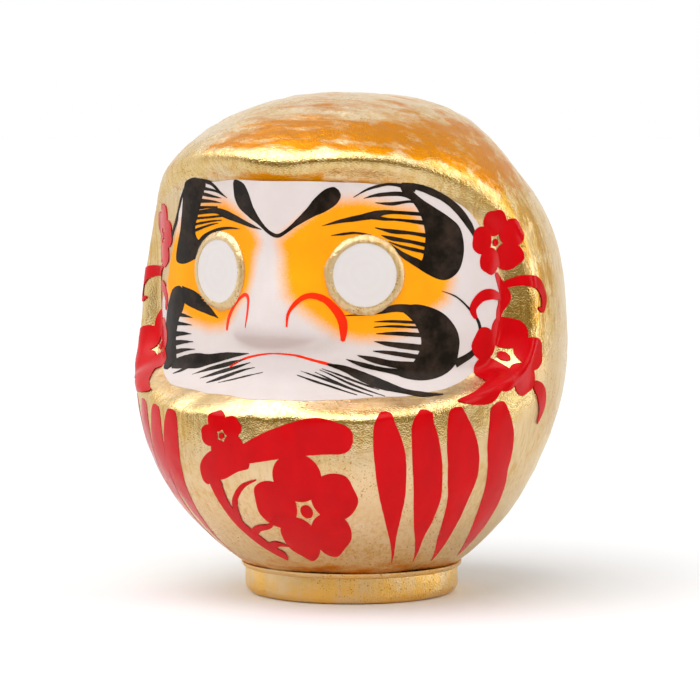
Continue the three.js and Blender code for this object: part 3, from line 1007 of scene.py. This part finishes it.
def make_right_moustache():
    bulb = [
        (62.5, 144.5), (70, 143), (76.5, 139.5), (81.5, 133.5), (83.5, 127.5), (83, 121), (81.5, 116),
        (77.5, 112.5), (71, 110), (63.5, 109.3), (56, 110.8), (52, 114), (60, 116), (63.5, 120),
        (65.5, 125), (65.5, 129), (64, 133), (62, 136.5), (59, 139.5), (56, 142.5),
    ]
    strokes = [
        [(29, 139.5, 0.3), (37.5, 140, 1.1), (46.5, 141.5, 2.7), (54.5, 142.8, 3.6), (64, 142, 4)],
        [(43.5, 136.5, 0.2), (52, 136.7, 1.2), (64, 136, 1.4)],
        [(43.5, 134, 0.3), (52, 134.4, 1), (66, 133.6, 1.1)],
        [(44.5, 131, 0.3), (54.5, 131, 1.8), (68, 130, 2)],
        [(43.5, 127.5, 0.2), (52, 126, 2.4), (68, 124, 3.2)],
        [(43, 123, 0.3), (52, 122, 2), (66, 119.8, 2.3)],
        [(35.5, 121, 0.3), (43, 119, 2.8), (52, 117, 3.2), (63, 115.5, 4.6)],
        [(30, 119.3, 0.3), (37.5, 116.8, 2.1), (47, 114.5, 2.2), (57, 112.8, 3.6)],
        ([(21, 117.2, 0.6), (29, 115, 2.9), (39, 110.7, 4.5), (47, 107.5, 4.4), (56, 104.8, 2.4),
          (63.5, 103.6, 1.7), (71, 103.6, 0.2)], START),
        [(75, 150.5, 0.2), (82, 147.5, 0.7), (88.5, 141.5, 1.1), (93, 135.5, 1.4), (94.3, 129, 2.2),
         (93, 124, 2.8), (88.5, 120, 2.9), (81.5, 116.5, 4)],
    ]
    ink_piece("ink_moustache_right", strokes, [bulb])


def make_left_moustache():
    strokes = [
        ([(-70, 149, 4), (-73, 144, 13), (-78, 137, 13.5), (-81, 129.5, 13.5), (-82.3, 122, 13.5),
          (-81, 115.5, 13.5), (-76.5, 110.8, 8)], BLUNT),
        [(-70, 146, 7.5), (-58.5, 143.3, 8.2), (-50.5, 140, 5), (-41.5, 136, 0.2)],
        [(-76, 136, 2.6), (-68, 135.7, 1.6), (-61, 135, 0.2)],
        [(-77.5, 131.5, 2.6), (-69, 131.6, 1.5), (-61.5, 131.5, 0.2)],
        [(-78.5, 126, 3), (-69, 127, 1.8), (-62, 127.3, 0.2)],
        [(-77.5, 121.8, 2.9), (-69, 123, 1.8), (-60.5, 123.7, 0.2)],
        [(-77.5, 117.4, 2.6), (-68, 119.3, 1.6), (-59, 120.3, 0.2)],
        ([(-77, 112, 4.5), (-65, 114, 6.5), (-56, 115, 7.3), (-48, 116.2, 5), (-34, 118.8, 3.2),
          (-17, 121, 0.2)], START),
        [(-71.5, 108, 0.2), (-66, 110, 1.6), (-61, 113, 3)],
        [(-89, 131, 0.2), (-90, 124, 1.2), (-89, 117, 1.8), (-84, 112, 2.6), (-78, 110.5, 3)],
    ]
    ink_piece("ink_moustache_left", strokes)


def make_whiskers():
    """Fine strokes beside the mouth, thinner than the moustache's own."""
    strokes = [
        [(-56.5, 108.5, 0.2), (-46, 112, 1.8), (-32.5, 115.2, 2.1), (-19, 118.3, 0.2)],
        [(-49.5, 107.3, 0.2), (-39, 110.8, 1.9), (-26.5, 114, 1.5), (-15.5, 117, 0.2)],
        [(-43.5, 105.8, 0.4), (-34.5, 108.8, 1.8), (-21.5, 112.8, 1.1), (-12.5, 115, 0.2)],
        [(-35.5, 106.3, 0.2), (-22, 109.4, 0.7), (-7.5, 113, 0.2)],
        [(18, 114.7, 0.3), (31.5, 108.3, 1), (47, 102.6, 0.3)],
        [(16, 113.6, 0.3), (29, 107.3, 1), (42, 102.6, 0.3)],
        [(8.5, 112.3, 0.2), (18, 108.8, 0.9), (35, 103.2, 0.3)],
        [(10, 114.2, 0.2), (22, 109.6, 1), (38, 104, 0.3)],
        [(19, 115.2, 0.2), (31, 110.4, 1), (45, 105.4, 0.3)],
    ]
    ink_piece("ink_whiskers", strokes)


def make_nose_and_mouth():
    """Vermilion arcs round the nostrils and one line for the mouth."""
    right = [
        (6, 135, 0.5), (6.5, 141.5, 1.3), (10, 147, 2.2), (14.5, 149, 2.6), (20.5, 147, 3),
        (25.5, 142, 3.7), (28.3, 137, 4.2), (28.8, 132, 3.4), (28.4, 127.5, 1.6),
    ]
    left = [
        (-34.5, 130.5, 1.6), (-32.5, 137, 2.1), (-26.5, 144, 1.7), (-19.5, 148.2, 1.7),
        (-15.5, 146.5, 1.8), (-14.5, 140, 1.3), (-15.5, 133.5, 0.5),
    ]
    mouth = [
        (-32.5, 113.6, 0.9), (-21.5, 118, 1.1), (-9, 121, 0.9), (-1, 122, 0.8), (7.5, 121.3, 1),
        (15.5, 119, 1.2), (24, 116.6, 1.4),
    ]
    raised = COAT + 0.22
    paint_piece("red_nostril_right", LIP_RED, [(right, END)], lift=raised, thick=0.34)
    paint_piece("red_nostril_left", LIP_RED, [(left, START)], lift=raised, thick=0.34)
    paint_piece("red_mouth_line", LIP_RED, [(mouth, BLUNT)])


# ---- Red enamel on the body ----
STRIPE_BOTTOM = 20.5
# How a stripe's width changes down its length: (share of the length, share of the width).
SLIM = [
    (0, 0.35), (0.07, 0.72), (0.27, 1), (0.48, 0.97), (0.66, 0.72), (0.83, 0.36), (0.93, 0.1),
    (1, 0.03),
]
FULL = [(0, 0.3), (0.07, 0.6), (0.25, 0.9), (0.48, 1), (0.68, 0.92), (0.84, 0.6), (0.94, 0.2), (1, 0.03)]
# Left: (across at the top, level of the top, across at the tip, width, shape). Right: brush strokes.
LEFT_STRIPES = [
    (-105, 97, -128, 16, FULL),
    (-88, 96, -112, 15, SLIM),
    (-71, 95, -95, 14.5, SLIM),
    (-56, 94, -80, 14, SLIM),
]
RIGHT_STRIPES = [
    [(54, 97, 5), (53.2, 90.5, 10), (54.5, 83, 13.1), (56, 75, 14.6), (57.5, 64, 14.2), (59.3, 54, 12.2),
     (61.5, 43, 7.8), (64.5, 33.5, 3.6), (70, 21, 0.5)],
    [(72.8, 97.5, 5.5), (70.9, 90.5, 10.6), (72.2, 82.5, 13), (74, 73, 14.6), (76, 63, 15),
     (78.2, 52.5, 14.6), (80, 42, 10.8), (82.5, 33, 5), (88.5, 21, 0.5)],
    [(86, 98, 6), (87.8, 91, 11), (90.5, 82.5, 15.5), (93.5, 73, 17.6), (95.5, 64, 17.6), (97.2, 53, 14),
     (98.8, 41, 11.4), (101.5, 32, 8), (107.5, 20.5, 0.5)],
    [(109, 99, 8), (111.5, 92, 12.5), (114.3, 82.5, 17.2), (117, 73, 17), (119.5, 63, 15.2),
     (123, 53, 16.4), (127, 42, 15.8), (132, 31.5, 10.5), (138, 21.5, 0.8)],
]


def make_stripes():
    """Four stripes to each side of the belly, hanging from the lip and running out to a point."""
    stripes = []
    for top, level, tip, width, shape in LEFT_STRIPES:
        stripes.append([
            (mix(top, tip, share**1.2), mix(level, STRIPE_BOTTOM, share), width * part)
            for share, part in shape
        ])
    for number, points in enumerate(stripes + RIGHT_STRIPES, 1):
        enamel_piece(f"red_stripe_{number}", [(points, START)])


def blossom(across, up, reach, petal, turn=0.0):
    """Outlines of a five-petalled blossom: five round petals about a small open middle."""
    outlines = []
    for i in range(5):
        direction = math.tau * i / 5 + math.radians(90 + turn)
        cx = across + reach * math.cos(direction)
        cy = up + reach * math.sin(direction)
        outline = []
        for k in range(10):
            t = math.tau * k / 10
            radius = petal * (1.04 if k else 0.9)
            outline.append((cx + radius * math.cos(direction + t), cy + radius * math.sin(direction + t)))
        outlines.append(outline)
    return outlines


def dot(across, up, radius):
    """A small round outline, for the middle of a blossom."""
    turns = [math.tau * k / 8 for k in range(8)]
    return [(across + radius * math.cos(turn), up + radius * math.sin(turn)) for turn in turns]


def make_belly_blossom():
    """A plum branch in bloom, painted large on the belly."""
    fills = blossom(15, 49, 16.8, 11.4, 8) + [dot(15, 49, 3.4)]
    fills += blossom(-23.5, 84, 7.4, 5, 20) + [dot(-23.5, 84, 1.6)]
    strokes = [
        ([(-40, 60, 3), (-36, 66, 10), (-28, 70, 14), (-18, 72, 10), (-10, 71, 4)], BLUNT),
        ([(-33, 64, 9), (-33, 52, 7.5), (-30, 40, 7.5), (-21, 30, 7), (-10, 23.5, 5)], BLUNT),
        ([(-19, 73, 5), (-9, 77, 10), (6, 82, 14.5), (23, 85.5, 17), (39, 83, 12)], BLUNT),
        [(-29, 42, 4), (-25, 52, 3), (-17, 60, 2.2), (-8, 64, 0.6)],
        [(-26, 35, 4), (-18, 39, 3.2), (-9, 41, 2.2), (-3, 46, 0.4)],
        [(-19, 29, 4), (-11, 31, 2.6), (-4, 30, 0.4)],
    ]
    enamel_piece("red_plum_branch", strokes, fills)


def make_shoulder_vines():
    """On each shoulder a climbing stem with two blossoms and curled shoots."""
    for side, label, shift, top in ((-1, "left", 0, 109), (1, "right", 5, 121)):
        low = 118 + shift
        fills = blossom(side * top, 172, 9.6, 6.3, 10 * side) + [dot(side * top, 172, 1.9)]
        fills += blossom(side * low, 119, 11.6, 7.5, -14 * side) + [dot(side * low, 119, 2.3)]
        stem = [(top - shift, 158, 2), (120, 152, 4.5), (122, 146, 5), (119, 140, 4.5), (118, 135, 3)]
        outer_shoot = [
            (122, 152, 3), (129, 154, 5), (136, 152, 6), (140, 146, 5), (138, 140, 3), (134, 141, 1.5),
        ]
        inner_shoot = [(120, 146, 3), (113, 148, 5), (106, 147, 5), (101, 142, 4), (103, 137, 2)]
        outer_leaf = [(130, 106, 4), (137, 101, 7.5), (140, 94, 6), (138, 86, 0.6)]
        inner_leaf = [(106, 108, 4), (100, 103, 7.5), (92, 101, 5), (83, 100.5, 0.6)]
        drawn = [(stem, BLUNT), (outer_shoot, BLUNT), (inner_shoot, BLUNT)]
        drawn += [(outer_leaf, START), (inner_leaf, START)]
        strokes = [
            ([(side * (across + shift), up, width) for across, up, width in points], ends)
            for points, ends in drawn
        ]
        enamel_piece("red_vine_" + label, strokes, fills, lift=COAT + 0.18, thick=0.32)


# ---- Kept pieces of the frame that lie inside ----
def finish_inner_pieces():
    """The strips, the disc underneath and the clay keep their shapes and get their finishes."""
    for node, material in (
        ("seam_strip_left", PAPER), ("seam_strip_right", PAPER), ("seam_strip_crown", PAPER),
        ("base_cover", PAPER), ("clay_weight", CLAY),
    ):
        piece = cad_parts[node]
        for place in piece.material_slots:
            place.material = material


# ---- Studio ----
CAMERA_TURN = 22
CAMERA_RISE = 5
CAMERA_DISTANCE = 2.0
FRAME_WIDTH = 0.33684
ROOM_COLOUR = (1.0, 1.0, 1.0)
DARK_COLOUR = (0.25, 0.185, 0.035)
GLARE_COLOUR = (3.7, 3.7, 3.7)
FILL_COLOUR = (0.53, 0.53, 0.54)
AIM = (0, 0, 0.13)


def make_camera():
    """A long lens a little above the middle of the doll, turned to its left."""
    angle, rise, distance = math.radians(CAMERA_TURN), math.radians(CAMERA_RISE), CAMERA_DISTANCE
    back = Vector((math.sin(angle) * math.cos(rise), -math.cos(angle) * math.cos(rise), math.sin(rise)))
    right = Vector((math.cos(angle), math.sin(angle), 0))
    target = Vector((0, 0, 0.485 * BODY_TOP * MM)) - right * 0.0007
    lens = bpy.data.cameras.new("camera")
    lens.sensor_width = 36
    lens.lens = lens.sensor_width * distance / FRAME_WIDTH
    camera = bpy.data.objects.new("camera", lens)
    camera.location = target + back * distance
    camera.rotation_euler = back.to_track_quat("Z", "Y").to_euler()
    bpy.context.collection.objects.link(camera)
    bpy.context.scene.camera = camera
    bpy.context.scene.view_settings.view_transform = "Standard"


def hang_light(name, kind, place, aim, power):
    """A light at a place, turned to shine at what it is aimed at."""
    light = bpy.data.lights.new(name, kind)
    light.energy = power
    lamp = bpy.data.objects.new(name, light)
    lamp.location = place
    lamp.rotation_euler = (Vector(place) - Vector(aim)).to_track_quat("Z", "Y").to_euler()
    bpy.context.collection.objects.link(lamp)
    return lamp, light


def facing(tree, direction, turn, rise):
    """How nearly a direction points to a place in the room, given by its turn and rise in degrees."""
    turn, rise = math.radians(turn), math.radians(rise)
    node = tree.nodes.new("ShaderNodeVectorMath")
    node.operation = "DOT_PRODUCT"
    node.inputs[1].default_value = (
        math.sin(turn) * math.cos(rise), -math.cos(turn) * math.cos(rise), math.sin(rise),
    )
    tree.links.new(direction, node.inputs[0])
    return node.outputs["Value"]


def make_floors():
    """A wide pale floor, and a small one under the doll that alone shows in its gold."""
    material, _ = new_material("pale_floor", (0.96, 0.96, 0.96), 0.9)
    for name, reach, level in (("floor", 6, -0.0001), ("floor_near", 0.24, -0.00002)):
        bm = bmesh.new()
        bmesh.ops.create_circle(bm, cap_ends=True, segments=96, radius=reach)
        for vert in bm.verts:
            vert.co.z = level
        mesh = bpy.data.meshes.new(name)
        bm.to_mesh(mesh)
        bm.free()
        mesh.materials.append(material)
        floor = bpy.data.objects.new(name, mesh)
        bpy.context.collection.objects.link(floor)
        floor.visible_glossy = name == "floor_near"


def patch(tree, direction, turn, rise, edge, middle):
    """A soft round patch of the room: 1 in its middle, 0 past its edge."""
    return mask(tree, facing(tree, direction, turn, rise), edge, middle)


def make_room():
    """What the gold reflects: a white room, dark in front and on one side, with bright patches."""
    world = bpy.data.worlds.new("studio")
    bpy.context.scene.world = world
    world.use_nodes = True
    tree = world.node_tree
    sky = tree.nodes["Background"]
    place = tree.nodes.new("ShaderNodeTexCoord")
    split = tree.nodes.new("ShaderNodeSeparateXYZ")
    tree.links.new(place.outputs["Generated"], split.inputs["Vector"])
    direction = place.outputs["Generated"]
    level = split.outputs["Z"]

    low_edge = mask(tree, level, -0.34, -0.20)
    in_front = multiply(tree, low_edge, mask(tree, level, 0.48, 0.34))
    in_front = multiply(tree, patch(tree, direction, 25, 0, -0.2, 0.1), in_front)
    beside = multiply(tree, low_edge, mask(tree, level, 0.85, 0.65))
    beside = multiply(tree, patch(tree, direction, 98, 0, 0.5, 0.8), beside)
    dark = clamped(tree, add(tree, in_front, beside))
    room = blend_colour(tree, dark, ROOM_COLOUR, DARK_COLOUR)

    overhead = patch(tree, direction, 0, 65, 0.85, 0.95)
    glare = add(tree, overhead, patch(tree, direction, -62, 56, 0.84, 0.93))
    for turn, rise in ((122, -4), (122, 10), (120, 24), (116, 38), (110, 52)):
        glare = add(tree, glare, patch(tree, direction, turn, rise, 0.978, 0.993))
    room = blend_colour(tree, clamped(tree, glare), room, GLARE_COLOUR)

    path = tree.nodes.new("ShaderNodeLightPath")
    colour = blend_colour(tree, path.outputs["Is Glossy Ray"], FILL_COLOUR, room)
    colour = blend_colour(tree, path.outputs["Is Camera Ray"], colour, (1.0, 1.0, 1.0))
    tree.links.new(colour, sky.inputs["Color"])
    sky.inputs["Strength"].default_value = 1.0


def make_lights():
    """Broad light from above and a soft box to the right."""
    lamp, daylight = hang_light("overhead_light", "SUN", (-0.35, -0.75, 1.35), (0, 0, 0), 2.05)
    daylight.angle = math.radians(70)
    lamp.visible_glossy = False
    _, softbox = hang_light("side_softbox", "AREA", (1.7, -0.3, 0.8), AIM, 6)
    softbox.shape = "RECTANGLE"
    softbox.size = 0.4
    softbox.size_y = 1.2


make_shell()
make_foot()
make_collar()
make_face_coat()
make_eyes()
make_frown()
make_right_brow()
make_left_brow()
make_right_moustache()
make_left_moustache()
make_whiskers()
make_nose_and_mouth()
make_stripes()
make_belly_blossom()
make_shoulder_vines()
finish_inner_pieces()
make_camera()
make_floors()
make_room()
make_lights()
